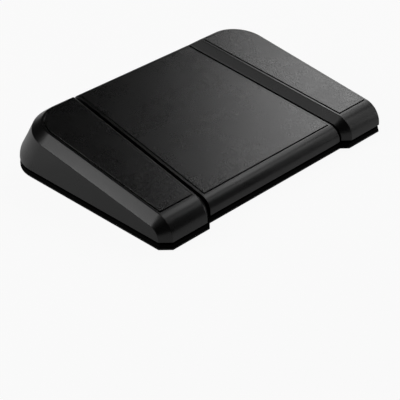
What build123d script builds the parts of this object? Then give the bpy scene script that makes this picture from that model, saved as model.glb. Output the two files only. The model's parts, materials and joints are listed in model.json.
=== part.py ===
import math
import os

from build123d import *

# Overall size of the foot switch, in millimetres; +Y points to the tall rear
overall_width = 233.0
overall_depth = 174.0
top_slope_deg = 8.65
overrun = 30.0

# Base plate and rubber feet
foot_proud = 1.0
foot_length = 44.0
foot_width = 14.0
foot_edge_margin = 12.0
plate_thickness = 1.4
plate_screw_radius = 1.5
plate_screw_head_radius = 2.8
plate_screw_head_height = 1.2
plate_screw_length = 6.0
screw_fit = 0.02
drive_radius = 0.8
drive_slot = 0.5
drive_depth = 0.7
side_screw_inset = 14.0
seam_screw_inset = 11.6
port_screw_x = 25.6
front_screw_back = 37.5
outer_screw_rear = 62.6
port_screw_rear = 34.8

# Moulded tray on the plate
tray_floor = 1.8
tray_rim_inset = 0.6
tray_rim_width = 2.0
tray_rim_height = 2.2
tray_boss_radius = 3.6
tray_boss_height = 4.6
skirt_gap = 2.4
upstand_inset = 4.4
upstand_wall = 1.4
upstand_height = 3.4
upstand_slot_play = 1.0

# Outline seen from above
front_corner = 7.0
centre_setback = 4.8
rear_corner_radius = 32.0
side_pedal_width = 45.3
taper_deg = 4.08
pedal_gap = 2.4
step_inset = 1.4

# Pedal shells
side_front_height = 22.1
centre_drop = 5.2
nose_radius = 16.0
edge_chamfer = 7.0
inner_chamfer = 5.6
rear_rake_run = 12.7
rake_fall_shares = (0.0, 0.4, 0.6, 0.74, 0.8, 0.87, 1.0)
rake_run_shares = (0.0, 0.475, 0.731, 0.91, 0.965, 0.995, 1.0)
shell_wall = 2.4
shell_top = 3.4

# Textured pads let into the tops
pad_thickness = 1.8
pad_proud = 0.6
pad_groove = 0.7
pad_edge = 2.35
centre_pad_edge = 2.65
pad_front = 14.25
centre_pad_front = 14.05

# Hinge at the low front
hinge_back = 15.0
hinge_height = 10.4
axle_radius = 1.5
axle_length = 34.0
bush_wall = 0.9
bush_fit = 0.06
press_fit = 0.02
lug_radius = 3.2
saddle_width = 5.0
saddle_play = 0.4
saddle_front = 3.0
saddle_back = 10.4
cap_thickness = 2.8
cap_screw_back = 6.8
cap_screw_radius = 1.0
cap_screw_head_radius = 1.9
cap_screw_head_height = 1.2
cap_screw_length = 6.0
side_hinge_inset = 23.3
centre_hinge_inset = 29.2
pedal_travel_deg = 0.72

# Return springs
spring_radius = 4.5
spring_wire = 0.9
spring_turns = 7
spring_rear = 49.0
side_spring_inset = 38.5
side_spring_step = 27.0
centre_spring_share = 0.544
spring_top = 24.0
spring_pin_radius = 3.0
spring_pin_height = 2.5
spring_end_gap = 0.1
spring_boss_radius = 6.0

# Circuit board
board_thickness = 1.6
board_lift = 2.4
board_side_inset = 24.5
board_rear = 57.0
board_depth = 22.0
board_tongue_width = 26.0
board_post_radius = 3.0
board_screw_radius = 1.0
board_screw_head_radius = 1.9
board_screw_head_height = 1.2
board_screw_length = 3.6
board_screw_inset = 4.0
board_screw_end = 18.0
chip_size = 7.0
chip_height = 1.0
chip_rear = 45.0
board_slot_play = 3.0

# Switches and their plungers
switch_length = 20.0
switch_width = 6.4
switch_height = 10.3
switch_front = 11.0
side_switch_inset = 30.5
plunger_radius = 1.2
plunger_fit = 0.08
plunger_proud = 1.6
plunger_buried = 3.0
plunger_bore_spare = 0.6
actuator_gap = 0.05
actuator_radius = 3.0

# Socket at the rear and the block of the tray round it
socket_width = 8.94
socket_depth = 7.35
socket_height = 3.26
socket_wall = 0.35
socket_corner = 1.3
socket_tongue_width = 6.7
socket_tongue_thickness = 0.7
socket_proud = 1.2
socket_fit = 0.15
port_width = 22.0
port_depth = 7.9
port_height = 10.8
port_rear_inset = 2.5
recess_width = 13.5
recess_height = 7.4
recess_depth = 6.4
port_clearance = 1.2
port_headroom = 2.8

# Rubber buffers and upward stops
buffer_radius = 4.0
buffer_height = 3.0
buffer_rear = 29.0
buffer_gap = 0.08
side_buffer_inset = 42.5
side_buffer_step = 26.0
centre_buffer_share = 0.602
buffer_post_radius = 3.4
catch_rear = 13.0
catch_width = 9.0
catch_wall = 2.4
catch_reach = 2.6
catch_thickness = 1.8
catch_height = 5.0
catch_gap = 0.2
side_catch_inset = 32.5
centre_catch_share = 0.372

# Values that follow from the sizes above
slope = math.radians(top_slope_deg)
front_y = -overall_depth / 2
rear_y = overall_depth / 2
half_width = overall_width / 2
side_inner_front = half_width - side_pedal_width
plate_bottom = foot_proud
plate_top = plate_bottom + plate_thickness
floor_top = plate_top + tray_floor
rim_top = plate_top + tray_rim_height
skirt_bottom = rim_top + skirt_gap
travel = math.radians(pedal_travel_deg)
hinge_y = front_y + hinge_back
taper = math.tan(math.radians(taper_deg)) * math.cos(slope)
taper_cos = math.cos(math.radians(taper_deg))
rear_v = overall_depth * math.cos(slope) - (side_front_height - skirt_bottom) * math.sin(slope)
rear_w = overall_depth * math.sin(slope) + (side_front_height - skirt_bottom) * math.cos(slope)
centre_w = centre_drop * math.cos(slope)
board_top = floor_top + board_lift + board_thickness
board_half_width = half_width - board_side_inset
board_rear_y = rear_y - board_rear
board_front_y = board_rear_y - board_depth
chip_y = rear_y - chip_rear
switch_y = board_front_y + switch_front
spring_y = rear_y - spring_rear
buffer_y = rear_y - buffer_rear
catch_y = rear_y - catch_rear
port_rear_y = rear_y - port_rear_inset
port_front_y = port_rear_y - port_depth
buffer_top = floor_top + buffer_height
bush_radius = axle_radius + bush_fit + bush_wall
lug_length = axle_length - 2 * saddle_width - 2 * saddle_play
catch_under = floor_top + catch_height

# Places from left to right
side_hinge_x = half_width - side_hinge_inset
side_switch_x = half_width - side_switch_inset
centre_hinge_x = side_inner_front - centre_hinge_inset
saddle_x = (axle_length - saddle_width) / 2
side_hinges = [side_hinge_x]
side_springs = [half_width - side_spring_inset, half_width - side_spring_inset + side_spring_step]
side_buffers = [half_width - side_buffer_inset, half_width - side_buffer_inset + side_buffer_step]
side_catches = [half_width - side_catch_inset]
centre_hinges = [-centre_hinge_x, centre_hinge_x]
centre_springs = [side * centre_spring_share * side_inner_front for side in (-1, 1)]
centre_buffers = [side * centre_buffer_share * side_inner_front for side in (-1, 1)]
centre_catches = [side * centre_catch_share * side_inner_front for side in (-1, 1)]

top_plane = Plane(
    origin=(0, front_y, side_front_height),
    x_dir=(1, 0, 0),
    z_dir=(0, -math.sin(slope), math.cos(slope)),
)


def drop_at(y):
    # How far a part of the pedal at this place sinks when the pedal is pressed home
    return travel * (y - hinge_y)


def box_between(x0, x1, y0, y1, z0, z1):
    centre = ((x0 + x1) / 2, (y0 + y1) / 2, (z0 + z1) / 2)
    return Pos(*centre) * Box(abs(x1 - x0), abs(y1 - y0), abs(z1 - z0))


def rod_up(x, y, z0, z1, radius):
    return Pos(x, y, (z0 + z1) / 2) * Cylinder(radius, z1 - z0)


def rod_across(x, y, z, radius, length):
    return Pos(x, y, z) * Rot(0, 90, 0) * Cylinder(radius, length)


def group(solids):
    return Compound(children=list(solids))


def left_of(shape):
    return mirror(shape, about=Plane.YZ)


def save(shape, node):
    export_step(shape, "parts/" + node + ".step")


# Outlines of the base, seen from above
def base_outline(inset, z):
    # One loop with the stepped front, its corners cut off, and two round rear corners
    side = half_width - inset
    front = front_y + inset
    rear = rear_y - inset
    radius = rear_corner_radius - inset
    corner = front_corner - inset * (2 - math.sqrt(2))
    step = side_inner_front - step_inset + inset * (math.sqrt(2) - 1)
    bend = radius * (1 - math.sqrt(0.5))
    half = Polyline(
        (0, front + centre_setback),
        (step, front + centre_setback),
        (step + centre_setback, front),
        (side - corner, front),
        (side, front + corner),
        (side, rear - radius),
    )
    turn = ThreePointArc((side, rear - radius), (side - bend, rear - bend), (side - radius, rear))
    back = Line((side - radius, rear), (0, rear))
    spine = Line((0, rear), (0, front + centre_setback))
    face = make_face(Curve() + [half, turn, back, spine])
    whole = face + mirror(face, about=Plane.YZ)
    return Pos(0, 0, z) * whole


# Outlines of the pedals, drawn in the sloping plane of the side pedals' tops
def side_outline(inner_inset, outer_inset, rear, radius, front):
    inner = side_inner_front + inner_inset / taper_cos
    outer = half_width - outer_inset
    bend = radius * (1 - math.sqrt(0.5))
    edges = [
        Line((inner - taper * front, front), (outer, front)),
        Line((outer, front), (outer, rear - radius)),
        ThreePointArc((outer, rear - radius), (outer - bend, rear - bend), (outer - radius, rear)),
        Line((outer - radius, rear), (inner - taper * rear, rear)),
        Line((inner - taper * rear, rear), (inner - taper * front, front)),
    ]
    return make_face(Curve() + edges)


def centre_outline(inset, rear, radius, front):
    edge = side_inner_front - (pedal_gap + inset) / taper_cos
    points = [
        (edge - taper * front, front),
        (edge - taper * rear, rear),
        (taper * rear - edge, rear),
        (taper * front - edge, front),
    ]
    return make_face(Polyline(*points, close=True))


def level(face, depth):
    return top_plane.offset(-depth) * face


def raked_stack(outline, wall, top, bevel, side_bevel):
    # The bevel round the top, then the bands of the rear wall that rake outwards to the skirt
    shoulder = rear_v - rear_rake_run
    radius = rear_corner_radius - wall
    crown = outline(wall + side_bevel, shoulder - wall - bevel, radius - bevel, -overrun)
    brow = outline(wall, shoulder - wall, radius, -overrun)
    stack = loft([level(crown, top), level(brow, top + bevel)], ruled=True)
    levels = []
    for fall_share, run_share in zip(rake_fall_shares, rake_run_shares):
        depth = edge_chamfer + (rear_w - edge_chamfer) * fall_share
        levels.append((depth, shoulder + rear_rake_run * run_share))
    levels[0] = (top + bevel, shoulder)
    levels.append((rear_w + overrun, rear_v))
    for (depth, rear), (next_depth, next_rear) in zip(levels, levels[1:]):
        face = level(outline(wall, rear - wall, radius, -overrun), depth)
        run = next_rear - rear
        sink = next_depth - depth
        way = top_plane.y_dir * run - top_plane.z_dir * sink
        stack += extrude(face, amount=math.hypot(run, sink), dir=way)
    return stack


def side_view(wall, front, top, radius):
    # Front wall, round nose and sloping top, seen from the side
    low = skirt_bottom - overrun
    near = front + wall
    far = near + overall_depth + overrun
    crest = side_front_height - top / math.cos(slope) + (near - front_y) * math.tan(slope)
    far_crest = crest + (far - near) * math.tan(slope)
    view = make_face(Polyline((near, low), (near, crest), (far, far_crest), (far, low), close=True))
    corner = view.vertices().group_by(Axis.X)[0].sort_by(Axis.Y)[-1]
    return Plane.YZ * fillet(corner, radius)


def bevelled(block, side, bevel):
    # The edges of the one side face, from the front over the nose to the rear
    edges = []
    for face in block.faces():
        if side * face.normal_at(face.center()).X > math.cos(math.radians(2 * taper_deg)):
            for edge in face.edges():
                reach_box = edge.bounding_box()
                if reach_box.max.Z > skirt_bottom and reach_box.min.Y < rear_y:
                    edges.append(edge)
    return chamfer(edges, bevel)


def side_nose(wall, top, inner_bevel, outer_bevel):
    view = side_view(wall, front_y, top, nose_radius - wall)
    block = extrude(view, amount=half_width - wall, dir=(1, 0, 0))
    inner = side_inner_front + wall / taper_cos
    reach = overall_depth + overrun
    cutter = make_face(Polyline(
        (-overrun, -reach),
        (inner + taper * reach, -reach),
        (inner - taper * 2 * reach, 2 * reach),
        (-overrun, 2 * reach),
        close=True,
    ))
    block -= extrude(level(cutter, -reach), amount=2 * reach, dir=-top_plane.z_dir)
    return bevelled(bevelled(block, 1, outer_bevel), -1, inner_bevel)


def above_skirt(form):
    # The pedals end together at the skirt line
    low = skirt_bottom - 2 * overrun
    return form - box_between(-overall_width, overall_width, -overall_depth, overall_depth, low, skirt_bottom)


def side_form(wall, top, inner_bevel, outer_bevel):
    # The stack is square along the inner side, where the nose block brings its bevel
    def outline(inset, rear, radius, front):
        return side_outline(wall, inset, rear, radius, front)

    nose = side_nose(wall, top, inner_bevel, outer_bevel)
    return raked_stack(outline, wall, top, outer_bevel, outer_bevel) & nose


def centre_form(wall, top, bevel):
    # The same rear wall, with its top lower than its neighbours' and its long edges square
    stack = raked_stack(centre_outline, wall, top, bevel, 0)
    radius = nose_radius - centre_setback - wall
    view = side_view(wall, front_y + centre_setback, centre_w + (top if wall else 0), radius)
    return stack & Pos(-half_width, 0, 0) * extrude(view, amount=overall_width, dir=(1, 0, 0))


# How much smaller a bevel is inside the shell than outside
bevel_cut = shell_wall + shell_top - shell_wall * math.sqrt(2)


def side_pad_outline(gap):
    inset = edge_chamfer + pad_edge - gap
    inner_inset = inner_chamfer + pad_edge - gap
    rear = rear_v - rear_rake_run - inset
    return side_outline(inner_inset, inset, rear, rear_corner_radius - inset, pad_front - gap)


def centre_pad_outline(gap):
    # The rear edge of the lower top lies further back on the common bevel
    inset = centre_pad_edge - gap
    rear = rear_v - rear_rake_run - edge_chamfer + centre_w - inset
    return centre_outline(inset, rear, 0, centre_pad_front - gap)


def pad_solid(outline, depth, sink):
    return extrude(level(outline, depth), amount=sink, dir=-top_plane.z_dir)


def proud_pad(outline, depth):
    # The pad fills its recess and stands a little above the shell
    return pad_solid(outline, depth - pad_proud, pad_thickness)


# Ribs, posts and lugs inside a pedal
def hinge_lug(x):
    barrel = rod_across(x, hinge_y, hinge_height, lug_radius, lug_length)
    web = box_between(
        x - lug_length / 2, x + lug_length / 2, hinge_y - bush_radius, hinge_y + bush_radius,
        hinge_height, side_front_height + overrun,
    )
    return barrel + web


def hanging_post(x, y, low, radius):
    return rod_up(x, y, low, side_front_height + overrun, radius)


def hanging_catch(x):
    # A rib with a foot that hooks under the tray's ledge and keeps the pedal from rising
    back = catch_y - catch_gap - catch_reach
    top = catch_under - catch_gap
    rib = box_between(
        x - catch_width / 2, x + catch_width / 2, back - catch_wall, back,
        top - catch_thickness, side_front_height + overrun,
    )
    foot = box_between(
        x - catch_width / 2, x + catch_width / 2, back, catch_y - catch_gap, top - catch_thickness, top
    )
    return rib + foot


def inner_parts(hinges, springs, buffers, catches, switch):
    parts = [hinge_lug(x) for x in hinges]
    for x in springs:
        parts.append(hanging_post(x, spring_y, spring_top, spring_boss_radius))
        parts.append(hanging_post(x, spring_y, spring_top - spring_pin_height, spring_pin_radius))
    post_low = buffer_top + drop_at(buffer_y) + buffer_gap
    for x in buffers:
        parts.append(hanging_post(x, buffer_y, post_low, buffer_post_radius))
    for x in catches:
        parts.append(hanging_catch(x))
    plunger_top = board_top + switch_height + plunger_proud
    parts.append(hanging_post(switch, switch_y, plunger_top + actuator_gap, actuator_radius))
    return parts


def lug_bores(hinges):
    return [rod_across(x, hinge_y, hinge_height, bush_radius + press_fit, axle_length) for x in hinges]


def board_slot(reach):
    # The board crosses under the pedals' side walls
    return box_between(
        -reach, reach, board_front_y - board_slot_play, board_rear_y + board_slot_play,
        skirt_bottom - overrun, board_top + board_slot_play,
    )


def pedal_shell(form, cavity, hinges, parts, pad, pad_depth):
    fill = parts[0]
    for piece in parts[1:]:
        fill += piece
    shell = (form - cavity) + (fill & form)
    for bore in lug_bores(hinges):
        shell -= bore
    return shell - pad_solid(pad, pad_depth, pad_thickness - pad_proud)


def side_shell():
    form = above_skirt(side_form(0, 0, inner_chamfer, edge_chamfer))
    cavity = side_form(shell_wall, shell_top, inner_chamfer - bevel_cut, edge_chamfer - bevel_cut)
    parts = inner_parts(side_hinges, side_springs, side_buffers, side_catches, side_switch_x)
    shell = pedal_shell(form, cavity, side_hinges, parts, side_pad_outline(pad_groove), 0)
    return shell - board_slot(side_switch_x)


def centre_shell():
    form = above_skirt(centre_form(0, 0, edge_chamfer))
    cavity = centre_form(shell_wall, shell_top, edge_chamfer - bevel_cut)
    parts = inner_parts(centre_hinges, centre_springs, centre_buffers, centre_catches, 0)
    shell = pedal_shell(form, cavity, centre_hinges, parts, centre_pad_outline(pad_groove), centre_w)
    notch = box_between(
        -port_width / 2 - port_clearance, port_width / 2 + port_clearance, port_front_y - port_clearance,
        overall_depth, 0, floor_top + port_height + port_headroom,
    )
    return shell - board_slot(half_width) - notch


# Hinge pieces
def hinge_axles():
    return group(rod_across(x, hinge_y, hinge_height, axle_radius, axle_length) for x in axle_places)


def bushes(places):
    solids = []
    for x in places:
        tube = rod_across(x, hinge_y, hinge_height, bush_radius, lug_length)
        solids.append(tube - rod_across(x, hinge_y, hinge_height, axle_radius + bush_fit, axle_length))
    return group(solids)


axle_places = centre_hinges + [-side_hinge_x, side_hinge_x]
saddle_places = [x + end * saddle_x for x in axle_places for end in (-1, 1)]


def saddle_block(x, low, high):
    return box_between(
        x - saddle_width / 2, x + saddle_width / 2, hinge_y - saddle_front, hinge_y + saddle_back, low, high
    )


def hinge_caps():
    cap_top = hinge_height + cap_thickness
    caps = []
    for x in saddle_places:
        cap = saddle_block(x, hinge_height, cap_top)
        cap -= rod_across(x, hinge_y, hinge_height, axle_radius + press_fit, axle_length)
        screw_y = hinge_y + cap_screw_back
        cap -= rod_up(x, screw_y, hinge_height - overrun, cap_top + overrun, cap_screw_radius + screw_fit)
        caps.append(cap)
    return group(caps)


def cross_driver(x, y, top, way):
    # Cross recess cut into a screw head
    low, high = sorted((top, top - way * drive_depth))
    slim = drive_slot / 2
    return box_between(x - drive_radius, x + drive_radius, y - slim, y + slim, low, high) + box_between(
        x - slim, x + slim, y - drive_radius, y + drive_radius, low, high
    )


def pan_screw(x, y, seat, radius, length, head_radius, head_height):
    head = rod_up(x, y, seat, seat + head_height, head_radius)
    screw = head + rod_up(x, y, seat - length, seat, radius)
    return screw - cross_driver(x, y, seat + head_height, 1)


def pan_screws(places, seat, radius, length, head_radius, head_height):
    return group(pan_screw(x, y, seat, radius, length, head_radius, head_height) for x, y in places)


def hinge_cap_screws():
    places = [(x, hinge_y + cap_screw_back) for x in saddle_places]
    return pan_screws(
        places, hinge_height + cap_thickness, cap_screw_radius, cap_screw_length,
        cap_screw_head_radius, cap_screw_head_height,
    )


# Base pieces
right_screw_places = [
    (half_width - side_screw_inset, rear_y - outer_screw_rear),
    (half_width - side_screw_inset, front_y + front_screw_back),
    (side_inner_front - seam_screw_inset, front_y + front_screw_back),
    (port_screw_x, rear_y - port_screw_rear),
]
plate_screw_places = [(side * x, y) for x, y in right_screw_places for side in (-1, 1)]


def base_plate():
    plate = extrude(base_outline(0, plate_bottom), amount=plate_thickness, dir=(0, 0, 1))
    for x, y in plate_screw_places:
        plate -= rod_up(x, y, 0, plate_top + overrun, plate_screw_radius + screw_fit)
        plate -= Pos(x, y, plate_bottom + plate_screw_head_height / 2) * Cone(
            plate_screw_head_radius + screw_fit, plate_screw_radius + screw_fit, plate_screw_head_height
        )
    return plate


def base_screws():
    screws = []
    for x, y in plate_screw_places:
        head = Pos(x, y, plate_bottom + plate_screw_head_height / 2) * Cone(
            plate_screw_head_radius, plate_screw_radius, plate_screw_head_height
        )
        head += rod_up(x, y, plate_bottom, plate_bottom + plate_screw_length, plate_screw_radius)
        screws.append(head - cross_driver(x, y, plate_bottom, -1))
    return group(screws)


def rubber_feet():
    y = rear_y - foot_edge_margin - foot_width
    x = half_width - rear_corner_radius - foot_length / 2
    feet = []
    for place in (-x, 0, x):
        for row in (-y, y):
            feet.append(Pos(place, row, foot_proud / 2) * Box(foot_length, foot_width, foot_proud))
    return group(feet)


def tray_catch(x):
    top = catch_under + catch_thickness
    left, right = x - catch_width / 2, x + catch_width / 2
    post = box_between(left, right, catch_y, catch_y + catch_wall, floor_top, top)
    return post + box_between(left, right, catch_y - catch_reach, catch_y, catch_under, top)


def board_screw_places():
    x = board_half_width - board_screw_end
    near = board_front_y + board_screw_inset
    far = board_rear_y - board_screw_inset
    tongue = board_tongue_width / 2 - board_screw_inset
    rear = port_front_y - socket_depth - board_screw_inset
    return [(-x, near), (x, near), (-x, far), (x, far), (-tongue, rear), (tongue, rear)]


def tray_port():
    # Block round the socket, with the recess that takes the plug
    block = box_between(
        -port_width / 2, port_width / 2, port_front_y, port_rear_y, floor_top, floor_top + port_height
    )
    middle = board_top + socket_height / 2
    recess = box_between(
        -recess_width / 2, recess_width / 2, port_rear_y - recess_depth, port_rear_y + overrun,
        middle - recess_height / 2, middle + recess_height / 2,
    )
    window = box_between(
        -socket_width / 2 - socket_fit, socket_width / 2 + socket_fit, port_front_y - overrun, port_rear_y,
        board_top - socket_fit, board_top + socket_height + socket_fit,
    )
    return block - recess - window


def tray_port_space():
    side = port_width / 2
    return box_between(-side, side, port_front_y, overall_depth, floor_top, skirt_bottom + overrun)


def tray_upstand():
    # Low wall just inside the skirts, open where the side walls of the pedals come down
    ring = extrude(base_outline(upstand_inset, floor_top), amount=upstand_height, dir=(0, 0, 1))
    middle = base_outline(upstand_inset + upstand_wall, floor_top)
    ring -= extrude(middle, amount=upstand_height, dir=(0, 0, 1))
    outer = side_inner_front + shell_wall + upstand_slot_play
    inner = side_inner_front - pedal_gap - shell_wall - upstand_slot_play
    shift = taper * overall_depth
    above = skirt_bottom + overrun
    for side in (-1, 1):
        ring -= box_between(side * inner, side * outer, front_y, 0, floor_top, above)
        ring -= box_between(side * (inner - shift), side * (outer - shift), 0, rear_y, floor_top, above)
    return ring


def base_tray():
    tray = extrude(base_outline(tray_rim_inset, plate_top), amount=tray_rim_height, dir=(0, 0, 1))
    hollow = base_outline(tray_rim_inset + tray_rim_width, floor_top)
    tray -= extrude(hollow, amount=tray_rim_height, dir=(0, 0, 1))
    tray += tray_upstand() - tray_port_space()
    for x, y in plate_screw_places:
        tray += rod_up(x, y, plate_top, plate_top + tray_boss_height, tray_boss_radius)
        screw_top = plate_bottom + plate_screw_length + drive_depth
        tray -= rod_up(x, y, plate_top - overrun, screw_top, plate_screw_radius + screw_fit)
    for x in saddle_places:
        tray += saddle_block(x, floor_top, hinge_height)
        tray -= rod_up(
            x, hinge_y + cap_screw_back, hinge_height + cap_thickness - cap_screw_length - drive_depth,
            hinge_height + overrun, cap_screw_radius + screw_fit,
        )
        tray -= rod_across(x, hinge_y, hinge_height, axle_radius + press_fit, axle_length)
    both_sides = side_springs + [-x for x in side_springs]
    for x in both_sides + centre_springs:
        tray += rod_up(x, spring_y, floor_top, floor_top + spring_pin_height, spring_pin_radius)
    for x in side_catches + [-x for x in side_catches] + centre_catches:
        tray += tray_catch(x)
    screw_low = board_top - board_screw_length - drive_depth
    for x, y in board_screw_places():
        tray += rod_up(x, y, floor_top, floor_top + board_lift, board_post_radius)
        tray -= rod_up(x, y, screw_low, floor_top + overrun, board_screw_radius + screw_fit)
    return tray + tray_port()


def rubber_buffers():
    places = side_buffers + [-x for x in side_buffers] + centre_buffers
    return group(rod_up(x, buffer_y, floor_top, buffer_top, buffer_radius) for x in places)


# Circuit board and what it carries
def main_board():
    low = floor_top + board_lift
    board = box_between(-board_half_width, board_half_width, board_front_y, board_rear_y, low, board_top)
    half_tongue = board_tongue_width / 2
    board += box_between(-half_tongue, half_tongue, board_rear_y, port_front_y - socket_fit, low, board_top)
    for x, y in board_screw_places():
        board -= rod_up(x, y, low - overrun, board_top + overrun, board_screw_radius + screw_fit)
    return board


def board_screws():
    return pan_screws(
        board_screw_places(), board_top, board_screw_radius, board_screw_length,
        board_screw_head_radius, board_screw_head_height,
    )


def controller_chip():
    half = chip_size / 2
    return box_between(-half, half, chip_y - half, chip_y + half, board_top, board_top + chip_height)


def usb_socket():
    # Rounded steel shell with a thin tongue in it
    rear = port_front_y + socket_proud
    middle = board_top + socket_height / 2
    mouth = Pos(0, rear, middle) * Rot(90, 0, 0)
    both_walls = 2 * socket_wall
    face = mouth * RectangleRounded(socket_width, socket_height, socket_corner)
    hole = mouth * RectangleRounded(
        socket_width - both_walls, socket_height - both_walls, socket_corner - socket_wall
    )
    shell = extrude(face, amount=socket_depth, dir=(0, -1, 0))
    shell -= extrude(hole, amount=socket_depth - socket_wall, dir=(0, -1, 0))
    tongue = Pos(0, rear - socket_depth / 2, middle) * Box(
        socket_tongue_width, socket_depth - both_walls, socket_tongue_thickness
    )
    return shell + tongue


def switch_bodies():
    solids = []
    for x in (-side_switch_x, 0, side_switch_x):
        middle = board_top + switch_height / 2
        body = Pos(x, switch_y, middle) * Box(switch_width, switch_length, switch_height)
        low = board_top + switch_height - plunger_buried - plunger_proud - plunger_bore_spare
        body -= rod_up(x, switch_y, low, board_top + switch_height + overrun, plunger_radius + plunger_fit)
        solids.append(body)
    return group(solids)


def plunger(x):
    top = board_top + switch_height
    return rod_up(x, switch_y, top - plunger_buried, top + plunger_proud, plunger_radius)


# Return springs: an even coil, drawn as short arcs that meet smoothly
def coil(x, y, low, high):
    steps = 4 * spring_turns
    radius = spring_radius - spring_wire / 2
    rise = (high - low - spring_wire) / steps
    turn = math.pi / 2
    lean = math.hypot(radius * turn, rise)
    points = []
    for step in range(steps + 1):
        angle = turn * step
        point = Vector(
            x + radius * math.cos(angle), y + radius * math.sin(angle), low + spring_wire / 2 + rise * step
        )
        way = Vector(-radius * turn * math.sin(angle), radius * turn * math.cos(angle), rise) / lean
        points.append((point, way))
    arcs = []
    for (start, leave), (end, arrive) in zip(points, points[1:]):
        chord = end - start
        both = leave + arrive
        bend = 2 * (1 - leave.dot(arrive))
        reach = (math.sqrt(chord.dot(both) ** 2 + bend * chord.dot(chord)) - chord.dot(both)) / bend
        first = start + leave * reach
        second = end - arrive * reach
        joint = (first + second) / 2
        for head, knee, tail in ((start, first, joint), (joint, second, end)):
            weight = (tail - head).length / 2 / reach
            middle = (head + knee * (2 * weight) + tail) / (2 + 2 * weight)
            arcs.append(ThreePointArc(head, middle, tail))
    path = Wire(arcs)
    section = Plane(origin=points[0][0], z_dir=points[0][1]) * Circle(spring_wire / 2)
    return sweep(section, path)


def springs(places):
    low = floor_top + spring_end_gap
    return group(coil(x, spring_y, low, spring_top - spring_end_gap) for x in places)


os.makedirs("parts", exist_ok=True)

right_shell = side_shell()
right_pad = proud_pad(side_pad_outline(0), 0)
right_bushes = bushes(side_hinges)
right_springs = springs(side_springs)

save(base_plate(), "base_plate")
save(base_tray(), "base_tray")
save(rubber_feet(), "rubber_feet")
save(base_screws(), "base_screws")
save(hinge_axles(), "hinge_axles")
save(hinge_caps(), "hinge_caps")
save(hinge_cap_screws(), "hinge_cap_screws")
save(rubber_buffers(), "rubber_buffers")
save(main_board(), "main_board")
save(board_screws(), "board_screws")
save(controller_chip(), "controller_chip")
save(usb_socket(), "usb_socket")
save(switch_bodies(), "switch_bodies")
save(right_shell, "right_shell")
save(right_pad, "right_pad")
save(right_bushes, "right_bushes")
save(right_springs, "right_springs")
save(plunger(side_switch_x), "right_plunger")
save(left_of(right_shell), "left_shell")
save(left_of(right_pad), "left_pad")
save(left_of(right_bushes), "left_bushes")
save(left_of(right_springs), "left_springs")
save(plunger(-side_switch_x), "left_plunger")
save(centre_shell(), "centre_shell")
save(proud_pad(centre_pad_outline(0), centre_w), "centre_pad")
save(bushes(centre_hinges), "centre_bushes")
save(springs(centre_springs), "centre_springs")
save(plunger(0), "centre_plunger")
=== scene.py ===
import json
import math

import bmesh
import bpy
from mathutils import Matrix, Vector
from mathutils.bvhtree import BVHTree

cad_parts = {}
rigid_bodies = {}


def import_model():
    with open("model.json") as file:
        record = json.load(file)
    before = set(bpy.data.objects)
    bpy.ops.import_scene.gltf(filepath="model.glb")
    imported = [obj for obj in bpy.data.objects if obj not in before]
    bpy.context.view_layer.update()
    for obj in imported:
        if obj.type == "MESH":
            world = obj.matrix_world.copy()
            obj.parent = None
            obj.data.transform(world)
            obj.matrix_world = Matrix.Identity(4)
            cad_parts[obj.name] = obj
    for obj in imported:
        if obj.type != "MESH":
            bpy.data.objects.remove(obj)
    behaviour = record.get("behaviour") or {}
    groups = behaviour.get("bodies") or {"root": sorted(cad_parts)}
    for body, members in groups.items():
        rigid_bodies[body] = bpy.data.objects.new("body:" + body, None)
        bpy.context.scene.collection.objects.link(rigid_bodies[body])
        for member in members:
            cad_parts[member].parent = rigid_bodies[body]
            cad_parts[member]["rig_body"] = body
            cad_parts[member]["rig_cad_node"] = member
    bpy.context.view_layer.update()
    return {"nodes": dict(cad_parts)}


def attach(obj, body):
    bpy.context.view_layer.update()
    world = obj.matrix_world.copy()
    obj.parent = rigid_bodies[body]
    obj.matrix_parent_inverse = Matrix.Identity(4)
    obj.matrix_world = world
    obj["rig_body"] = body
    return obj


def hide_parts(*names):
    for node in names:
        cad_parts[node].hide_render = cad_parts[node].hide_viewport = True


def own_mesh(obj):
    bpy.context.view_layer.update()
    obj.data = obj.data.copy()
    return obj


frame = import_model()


# Base plate
# A steel sheet, cut and pierced on a press and powder coated: dull black, with a fine even grain.
# It carries the whole switch and its edge shows as a thin line at the bottom.
mm = 0.001


def linear(code):
    # sRGB hex value, turned to the linear colour that a shader takes
    toe, slope, offset, power = 0.04045, 12.92, 0.055, 2.4
    shares = [int(code[place:place + 2], 16) / 255 for place in (0, 2, 4)]
    return [
        share / slope if share <= toe else ((share + offset) / (1 + offset)) ** power
        for share in shares
    ] + [1.0]


def add(tree, kind, settings=None, links=None):
    # One node with its values and links; a socket goes by name, or by number where names repeat
    made = tree.nodes.new(kind)
    for name, value in (settings or {}).items():
        if isinstance(name, str) and hasattr(made, name):
            setattr(made, name, value)
        else:
            made.inputs[name].default_value = value
    for name, source in (links or {}).items():
        tree.links.new(source, made.inputs[name])
    return made


def surface(name):
    # A new material with a bare shader, and the place of each point on the piece
    made = bpy.data.materials.new(name)
    made.use_nodes = True
    tree = made.node_tree
    tree.nodes.clear()
    shader = add(tree, "ShaderNodeBsdfPrincipled")
    add(tree, "ShaderNodeOutputMaterial", {}, {"Surface": shader.outputs["BSDF"]})
    place = add(tree, "ShaderNodeTexCoord").outputs["Object"]
    return made, tree, shader, place


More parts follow.
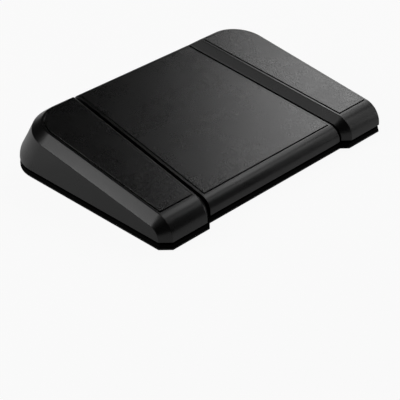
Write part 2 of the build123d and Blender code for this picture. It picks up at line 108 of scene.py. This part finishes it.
def skin(tree, shader, mottle, height, depth, dark, light, rough):
    # Colour and gloss that wander together with the mottle, and a bump with its depth in millimetres
    low, high = 0.3, 0.7
    tint = add(tree, "ShaderNodeValToRGB", {}, {"Fac": mottle})
    for stop, position, code in zip(tint.color_ramp.elements, (low, high), (dark, light)):
        stop.position = position
        stop.color = linear(code)
    tree.links.new(tint.outputs["Color"], shader.inputs["Base Color"])
    gloss = add(
        tree, "ShaderNodeMapRange",
        {"From Min": low, "From Max": high, "To Min": rough[0], "To Max": rough[1]},
        {"Value": mottle},
    )
    tree.links.new(gloss.outputs["Result"], shader.inputs["Roughness"])
    bump = add(tree, "ShaderNodeBump", {"Strength": 1.0, "Distance": depth * mm}, {"Height": height})
    tree.links.new(bump.outputs["Normal"], shader.inputs["Normal"])


def grained(name, dark, light, rough, grain, depth, cloud=24.0, metallic=0.0, specular=0.5):
    # An even fine grain under a faint cloudiness; grain, depth and cloud in millimetres
    # On most finishes the real grain is too fine to show, so it is drawn coarser here
    made, tree, shader, place = surface(name)
    fine = add(
        tree, "ShaderNodeTexNoise",
        {"Scale": 1 / (grain * mm), "Detail": 3.0, "Roughness": 0.6},
        {"Vector": place},
    )
    broad = add(
        tree, "ShaderNodeTexNoise",
        {"Scale": 1 / (cloud * mm), "Detail": 4.0, "Roughness": 0.55},
        {"Vector": place},
    )
    mottle = add(
        tree, "ShaderNodeMix",
        {"data_type": "FLOAT", "Factor": 0.35},
        {2: broad.outputs["Fac"], 3: fine.outputs["Fac"]},
    )
    skin(tree, shader, mottle.outputs[0], fine.outputs["Fac"], depth, dark, light, rough)
    shader.inputs["Metallic"].default_value = metallic
    if metallic == 0:
        shader.inputs["Specular IOR Level"].default_value = specular
    return made


def dress(node, material):
    # The CAD solid keeps its shape and gets the real surface
    mesh = frame["nodes"][node].data
    mesh.materials.clear()
    mesh.materials.append(material)


def weigh_edges(mesh, corner, rim_share):
    # Full rounding on the outer edges, a share of it on the rims of a recess, none inside a shell
    step, reach = 0.01 * mm, 90 * mm
    cage = bmesh.new()
    cage.from_mesh(mesh)
    weights = cage.edges.layers.float.new("bevel_weight_edge")
    tree = BVHTree.FromBMesh(cage)
    middle = sum((vertex.co for vertex in cage.verts), Vector()) / len(cage.verts)
    for edge in cage.edges:
        if len(edge.link_faces) != 2 or not edge.is_convex:
            continue
        if edge.calc_face_angle() < math.radians(corner):
            continue
        centre = (edge.verts[0].co + edge.verts[1].co) / 2
        first, second = (face.normal for face in edge.link_faces)
        way = (first + second).normalized()
        if tree.ray_cast(centre + way * step, way, reach)[0] is not None:
            continue
        wall = min(first, second, key=lambda normal: abs(normal.z))
        edge[weights] = rim_share if wall.dot(middle - centre) > 0 else 1.0
    cage.to_mesh(mesh)
    cage.free()


def weld_points():
    # Points of the active piece that lie on each other become one
    weld = 0.001 * mm
    bpy.ops.object.mode_set(mode="EDIT")
    bpy.ops.mesh.select_all(action="SELECT")
    bpy.ops.mesh.remove_doubles(threshold=weld)
    bpy.ops.object.mode_set(mode="OBJECT")


def copied(node, name):
    # A copy of the CAD solid as one joined mesh, ready to stand for it
    source = frame["nodes"][node]
    bpy.ops.object.select_all(action="DESELECT")
    source.select_set(True)
    bpy.context.view_layer.objects.active = source
    bpy.ops.object.duplicate()
    piece = bpy.context.active_object
    piece.name = name
    piece.data.name = name
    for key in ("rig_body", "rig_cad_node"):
        if key in piece:
            del piece[key]
    bpy.ops.object.parent_clear(type="CLEAR_KEEP_TRANSFORM")
    bpy.ops.object.mode_set(mode="EDIT")
    bpy.ops.mesh.customdata_custom_splitnormals_clear()
    bpy.ops.object.mode_set(mode="OBJECT")
    weld_points()
    return piece


def finished(piece, node, material, body):
    # The copy gets its surface and its body, and the CAD solid it stands for is hidden
    piece.data.materials.clear()
    piece.data.materials.append(material)
    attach(piece, body)
    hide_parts(node)


def rounded(node, name, radius, material, body, corner=24.0, rim_share=1.0):
    # The solid with its outer edges softened and its flats kept flat
    # The radius is in millimetres, the angles are in degrees
    flat_angle, smooth_angle = 0.4, 28
    piece = copied(node, name)
    bpy.ops.object.mode_set(mode="EDIT")
    bpy.ops.mesh.select_all(action="SELECT")
    bpy.ops.mesh.dissolve_limited(angle_limit=math.radians(flat_angle))
    bpy.ops.object.mode_set(mode="OBJECT")
    weigh_edges(piece.data, corner, rim_share)
    bevel = piece.modifiers.new("moulded edge", "BEVEL")
    bevel.width = radius * mm
    bevel.segments = 3
    bevel.limit_method = "WEIGHT"
    bevel.use_clamp_overlap = False
    bpy.ops.object.modifier_apply(modifier=bevel.name)
    weld_points()
    bpy.ops.object.shade_smooth_by_angle(angle=math.radians(smooth_angle))
    flat = piece.modifiers.new("flat faces", "WEIGHTED_NORMAL")
    flat.keep_sharp = True
    flat.weight = 90
    bpy.ops.object.modifier_apply(modifier=flat.name)
    finished(piece, node, material, body)


powder_coat = grained(
    "powder_coated_steel", dark="0a0a0a", light="101010", rough=(0.55, 0.65), grain=0.9, depth=0.02,
    specular=0.2,
)
rounded("base_plate", "base_sheet", 0.22, powder_coat, "base", corner=60.0)


# Base tray
# One ABS moulding with the rim, the saddles, the spring pins and the block round the socket.
# Its colour is pushed almost to black and its gloss turned down as painted shade, so the little of it
# that shows, its rim and the socket block, reads as the dark shadow line in the gap under the shells.
tray_painted_shade_abs = grained(
    "abs_black_with_painted_shade", dark="050505", light="080808", rough=(0.75, 0.85), grain=0.8, depth=0.015,
    specular=0.05,
)
dress("base_tray", tray_painted_shade_abs)


# Rubber feet and buffers
# Black rubber pads, die cut and stuck under the plate, and small moulded buffers on the tray.
# Matte and a little greyer than the mouldings.
foot_rubber = grained(
    "die_cut_rubber", dark="151515", light="1e1e1e", rough=(0.75, 0.9), grain=1.1, depth=0.05
)
dress("rubber_feet", foot_rubber)
dress("rubber_buffers", foot_rubber)


# Screws
# Zinc-plated steel screws, countersunk through the plate and pan-headed on the caps and the board.
# Bright, with a faint fine grain.
zinc = grained(
    "zinc_plated_steel", dark="a8abb0", light="c2c5c9", rough=(0.22, 0.34), grain=0.5, depth=0.004,
    cloud=6.0, metallic=1.0,
)
for node in ("base_screws", "hinge_cap_screws", "board_screws"):
    dress(node, zinc)


# Hinge
# Axles of ground steel, clean and bright, in the tray's saddles under moulded caps.
# Bushes of natural acetal, milky white and half glossy, turn on them inside each pedal.
ground_steel = grained(
    "ground_steel", dark="b4b6b9", light="c8cacc", rough=(0.15, 0.25), grain=0.4, depth=0.002,
    cloud=8.0, metallic=1.0,
)
acetal = grained(
    "natural_acetal", dark="dcdad2", light="e6e4dd", rough=(0.35, 0.45), grain=0.9, depth=0.01
)
dress("hinge_axles", ground_steel)
dress("hinge_caps", tray_painted_shade_abs)
for side in ("left", "centre", "right"):
    dress(side + "_bushes", acetal)


# Circuit board, controller and switches
# A fibreglass board under green solder mask, the glossiest of these, with a black moulded chip.
# The switches have cases of the same black resin, and plungers moulded in a red one, half glossy.
solder_mask = grained(
    "solder_mask", dark="0c3a22", light="114a2c", rough=(0.25, 0.35), grain=1.5, depth=0.01
)
case_resin = grained(
    "moulded_switch_resin", dark="161616", light="1f1f1f", rough=(0.4, 0.5), grain=0.7, depth=0.01
)
plunger_resin = grained(
    "red_plunger_resin", dark="7c1712", light="8c1d16", rough=(0.35, 0.45), grain=0.6, depth=0.01
)
dress("main_board", solder_mask)
dress("controller_chip", case_resin)
dress("switch_bodies", case_resin)
for side in ("left", "centre", "right"):
    dress(side + "_plunger", plunger_resin)


# Socket
# A drawn steel shell, nickel plated, with its thin tongue, at the bottom of the recess at the rear.
# The plating is bright and a little warm.
nickel = grained(
    "nickel_plated_shell", dark="b0aca4", light="c4c0b8", rough=(0.2, 0.3), grain=0.5, depth=0.003,
    cloud=5.0, metallic=1.0,
)
dress("usb_socket", nickel)


# Return springs
# Drawn spring wire, coiled cold: mid grey and half bright.
# In the real switch the coils shorten as their pedal goes down; here they stay at rest with the base.
spring_wire = grained(
    "drawn_spring_wire", dark="8d8f92", light="a3a5a8", rough=(0.25, 0.35), grain=0.4, depth=0.003,
    cloud=4.0, metallic=1.0,
)
coil_smooth_angle = 40
for side in ("left", "centre", "right"):
    node = side + "_springs"
    coils = copied(node, side + "_return_springs")
    bpy.ops.object.shade_smooth_by_angle(angle=math.radians(coil_smooth_angle))
    finished(coils, node, spring_wire, "base")
    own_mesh(coils)


# Pedal shells
# Black ABS from a spark-eroded mould: an even satin skin.
# The moulded edges are rounded a little, less on the rims of the recesses.
shell_abs = grained(
    "moulded_abs_satin_black", dark="070707", light="0a0a0a", rough=(0.26, 0.32), grain=0.8, depth=0.006
)
for side in ("left", "centre", "right"):
    rounded(
        side + "_shell", side + "_pedal_shell", 0.3, shell_abs, side + "_pedal",
        rim_share=0.25,
    )


# Pads
# Moulded rubber inlays with a leather grain that breaks up the light, set into recesses of the shells.
# Its rounded pebbles are drawn about two millimetres across, as coarse as they need to be to show.
def pebbled(name, dark, light, rough, pebble, depth):
    # Pebbles between bent creases, under a fine speckle; pebble and depth in millimetres
    wander, sway, speck, cloud = 3 * pebble, 0.8 * pebble, 0.5 * pebble, 30
    crease, speck_height = 0.28, 0.3
    made, tree, shader, place = surface(name)
    warp = add(
        tree, "ShaderNodeTexNoise",
        {"Scale": 1 / (wander * mm), "Detail": 2.0},
        {"Vector": place},
    )
    shift = add(
        tree, "ShaderNodeVectorMath",
        {"operation": "SCALE", "Scale": sway * mm},
        {"Vector": warp.outputs["Color"]},
    )
    bent = add(
        tree, "ShaderNodeVectorMath",
        {"operation": "ADD"},
        {0: place, 1: shift.outputs["Vector"]},
    )
    cells = add(
        tree, "ShaderNodeTexVoronoi",
        {"feature": "DISTANCE_TO_EDGE", "Scale": 1 / (pebble * mm)},
        {"Vector": bent.outputs["Vector"]},
    )
    dome = add(
        tree, "ShaderNodeMapRange",
        {
            "interpolation_type": "SMOOTHSTEP",
            "From Min": 0.0, "From Max": crease, "To Min": 0.0, "To Max": 1.0,
        },
        {"Value": cells.outputs["Distance"]},
    )
    speckle = add(
        tree, "ShaderNodeTexNoise",
        {"Scale": 1 / (speck * mm), "Detail": 4.0, "Roughness": 0.7},
        {"Vector": place},
    )
    height = add(
        tree, "ShaderNodeMath",
        {"operation": "MULTIPLY_ADD", 1: speck_height},
        {0: speckle.outputs["Fac"], 2: dome.outputs["Result"]},
    )
    broad = add(
        tree, "ShaderNodeTexNoise",
        {"Scale": 1 / (cloud * mm), "Detail": 4.0, "Roughness": 0.55},
        {"Vector": place},
    )
    mottle = add(
        tree, "ShaderNodeMix",
        {"data_type": "FLOAT", "Factor": 0.5},
        {2: broad.outputs["Fac"], 3: speckle.outputs["Fac"]},
    )
    skin(tree, shader, mottle.outputs[0], height.outputs["Value"], depth, dark, light, rough)
    return made


pad_rubber = pebbled(
    "leather_grained_rubber", dark="070707", light="0b0b0b", rough=(0.25, 0.31), pebble=1.8, depth=0.032
)
for side in ("left", "centre", "right"):
    rounded(side + "_pad", side + "_grained_pad", 0.25, pad_rubber, side + "_pedal")


# Floor
# A wide pale sheet that the camera sees as near white and that keeps the soft shadow of the switch.
# The glossy walls of the pedals mirror it faintly.
floor_size, seen_share, mirrored_share = 6.0, 0.93, 0.21
bpy.ops.object.select_all(action="DESELECT")
bpy.ops.mesh.primitive_plane_add(size=floor_size, location=(0, 0, 0))
floor = bpy.context.active_object
floor.name = "floor"
sheet, tree, shader, _ = surface("pale_sheet")
shader.inputs["Base Color"].default_value = linear("f0f0f0")
shader.inputs["Roughness"].default_value = 0.9
rays = add(tree, "ShaderNodeLightPath")
glow = add(tree, "ShaderNodeEmission", {"Color": linear("ffffff"), "Strength": 1.0})
faint = add(
    tree, "ShaderNodeMath",
    {"operation": "MULTIPLY", 1: mirrored_share},
    {0: rays.outputs["Is Glossy Ray"]},
)
share = add(
    tree, "ShaderNodeMath",
    {"operation": "MULTIPLY_ADD", 1: seen_share},
    {0: rays.outputs["Is Camera Ray"], 2: faint.outputs["Value"]},
)
mix = add(
    tree, "ShaderNodeMixShader",
    {},
    {"Fac": share.outputs["Value"], 1: shader.outputs["BSDF"], 2: glow.outputs["Emission"]},
)
target = next(item for item in tree.nodes if item.bl_idname == "ShaderNodeOutputMaterial")
tree.links.new(mix.outputs["Shader"], target.inputs["Surface"])
floor.data.materials.append(sheet)


# Light
# A pale room: a dim even world that the camera sees as white, soft boxes above and behind the left side,
# and smaller boxes on the right and in front.
# Their powers, in watts, come from a fit to the tones of the photograph.
room_level, seen_level = 0.02, 1.0
world = bpy.data.worlds.new("studio")
bpy.context.scene.world = world
world.use_nodes = True
tree = world.node_tree
tree.nodes.clear()
rays = add(tree, "ShaderNodeLightPath")
level = add(
    tree, "ShaderNodeMapRange",
    {"To Min": room_level, "To Max": seen_level},
    {"Value": rays.outputs["Is Camera Ray"]},
)
sky = add(
    tree, "ShaderNodeBackground",
    {"Color": (1.0, 1.0, 1.0, 1.0)},
    {"Strength": level.outputs["Result"]},
)
add(tree, "ShaderNodeOutputWorld", {}, {"Surface": sky.outputs["Background"]})


def softbox(name, place, width, height, power):
    # A lit rectangle that faces the switch, in metres and watts
    data = bpy.data.lights.new(name, "AREA")
    data.shape = "RECTANGLE"
    data.size = width
    data.size_y = height
    data.energy = power
    lamp = bpy.data.objects.new(name, data)
    bpy.context.scene.collection.objects.link(lamp)
    turn = Vector(place).to_track_quat("Z", "Y").to_matrix().to_4x4()
    lamp.matrix_world = Matrix.Translation(place) @ turn


boxes = (
    ("left_box", (-0.99, 0.57, 0.61), (0.35, 0.35), 3.02),
    ("left_overhead_box", (-0.8, 0.1, 1.1), (0.5, 0.4), 0.86),
    ("rear_overhead_box", (-0.8, 0.6, 1.1), (0.4, 0.4), 0.47),
    ("right_rear_box", (1.2, 0.65, 0.8), (0.4, 0.3), 1.04),
    ("right_box", (0.9, 0.35, 0.8), (0.3, 0.3), 0.98),
    ("right_side_box", (0.95, 0.0, 0.8), (0.3, 0.3), 0.26),
    ("right_front_box", (0.58, -0.05, 0.8), (0.4, 0.25), 0.78),
    ("near_front_box", (0.62, -0.42, 0.68), (0.25, 0.25), 0.36),
    ("low_front_box", (0.75, -0.5, 0.45), (0.3, 0.25), 0.21),
    ("low_right_box", (1.11, -0.64, 0.18), (0.35, 0.3), 1.61),
)
for name, place, (width, height), power in boxes:
    softbox(name, place, width, height, power)


# Camera
# A long lens from the front left, about a metre away, as high as an eye bent over a desk.
azimuth, elevation, roll = math.radians(-44.782), math.radians(32.751), math.radians(-0.807)
aim = Vector((-12.15, -14.93, -36.51)) * mm
distance = 1009.5 * mm
back = Vector((
    math.sin(azimuth) * math.cos(elevation),
    -math.cos(azimuth) * math.cos(elevation),
    math.sin(elevation),
))
across = Vector((0, 0, 1)).cross(back).normalized()
upward = back.cross(across)
turned_across = across * math.cos(roll) + upward * math.sin(roll)
turned_up = upward * math.cos(roll) - across * math.sin(roll)
data = bpy.data.cameras.new("camera")
data.lens = 119.96
data.sensor_width = 36.0
data.clip_end = 20.0
camera = bpy.data.objects.new("camera", data)
bpy.context.scene.collection.objects.link(camera)
axes = Matrix((turned_across, turned_up, back)).transposed().to_4x4()
camera.matrix_world = Matrix.Translation(aim + back * distance) @ axes
bpy.context.scene.camera = camera
bpy.context.scene.view_settings.view_transform = "Standard"
